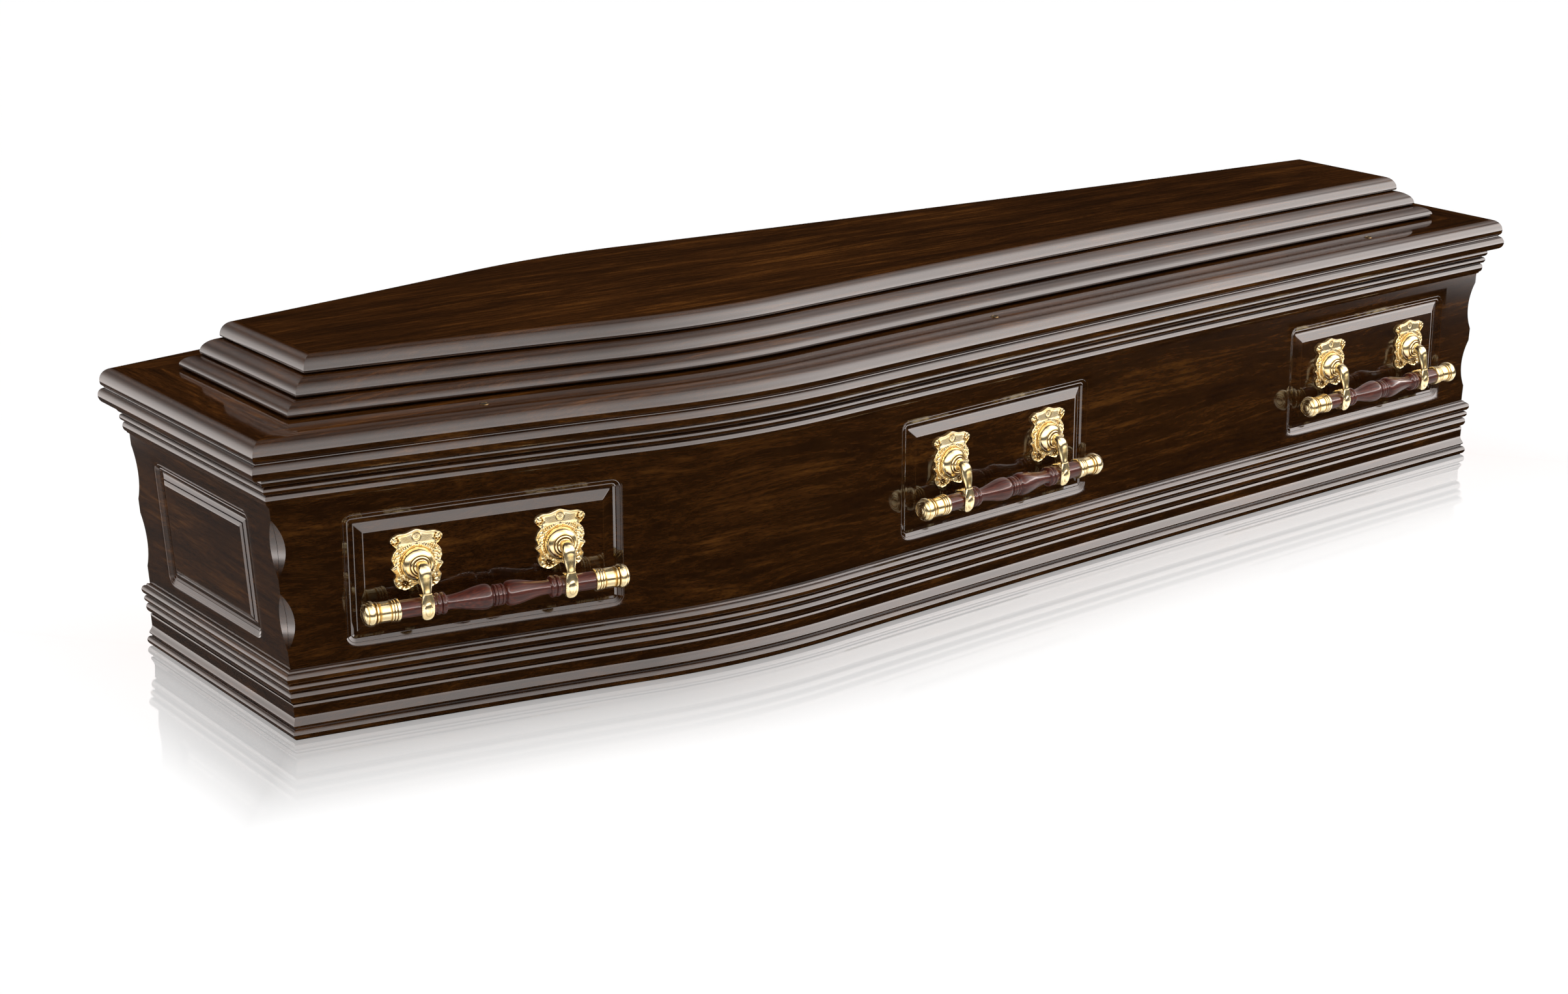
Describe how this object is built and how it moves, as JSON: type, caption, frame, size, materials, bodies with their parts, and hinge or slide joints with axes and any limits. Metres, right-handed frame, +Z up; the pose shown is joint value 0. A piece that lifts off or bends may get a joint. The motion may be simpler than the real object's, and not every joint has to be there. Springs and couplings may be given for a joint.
{
  "type": "wooden coffin",
  "caption": "Shouldered wooden coffin with a stepped raised lid that lifts off, mitred mouldings, routed side panels and bar handles on cast brackets.",
  "frame": {"origin": "on the floor under the middle of the coffin's length and width", "axes": "+X from the head end to the foot end, +Y to the left side, +Z up"},
  "size_m": [2.005, 0.609, 0.412],
  "materials": {
    "veneer": "dark brown veneer with lengthwise grain under high-gloss lacquer",
    "turned_wood": "turned, stained dark red and lacquered to a gloss",
    "gilt_metal": "cast, gold plated and polished"
  },
  "bodies": {
    "root": {"floor_board": "veneer", "head_board": "veneer", "foot_board": "veneer", "side_board_right": "veneer", "side_board_left": "veneer", "plinth_right": "veneer", "plinth_left": "veneer", "plinth_head": "veneer", "plinth_foot": "veneer", "lower_moulding_right": "veneer", "lower_moulding_left": "veneer", "lower_moulding_head": "veneer", "lower_moulding_foot": "veneer", "upper_moulding_right": "veneer", "upper_moulding_left": "veneer", "upper_moulding_head": "veneer", "upper_moulding_foot": "veneer", "lid_rim_right": "veneer", "lid_rim_left": "veneer", "lid_rim_head": "veneer", "lid_rim_foot": "veneer", "lid_step_right": "veneer", "lid_step_left": "veneer", "lid_step_head": "veneer", "lid_step_foot": "veneer", "lid_top_board": "veneer", "bracket_right_head_a": "gilt_metal", "bracket_right_head_b": "gilt_metal", "bar_right_head": "turned_wood", "cap_right_head_a": "gilt_metal", "cap_right_head_b": "gilt_metal", "bracket_right_middle_a": "gilt_metal", "bracket_right_middle_b": "gilt_metal", "bar_right_middle": "turned_wood", "cap_right_middle_a": "gilt_metal", "cap_right_middle_b": "gilt_metal", "bracket_right_foot_a": "gilt_metal", "bracket_right_foot_b": "gilt_metal", "bar_right_foot": "turned_wood", "cap_right_foot_a": "gilt_metal", "cap_right_foot_b": "gilt_metal", "bracket_left_head_a": "gilt_metal", "bracket_left_head_b": "gilt_metal", "bar_left_head": "turned_wood", "cap_left_head_a": "gilt_metal", "cap_left_head_b": "gilt_metal", "bracket_left_middle_a": "gilt_metal", "bracket_left_middle_b": "gilt_metal", "bar_left_middle": "turned_wood", "cap_left_middle_a": "gilt_metal", "cap_left_middle_b": "gilt_metal", "bracket_left_foot_a": "gilt_metal", "bracket_left_foot_b": "gilt_metal", "bar_left_foot": "turned_wood", "cap_left_foot_a": "gilt_metal", "cap_left_foot_b": "gilt_metal"}
  },
  "joints": []
}
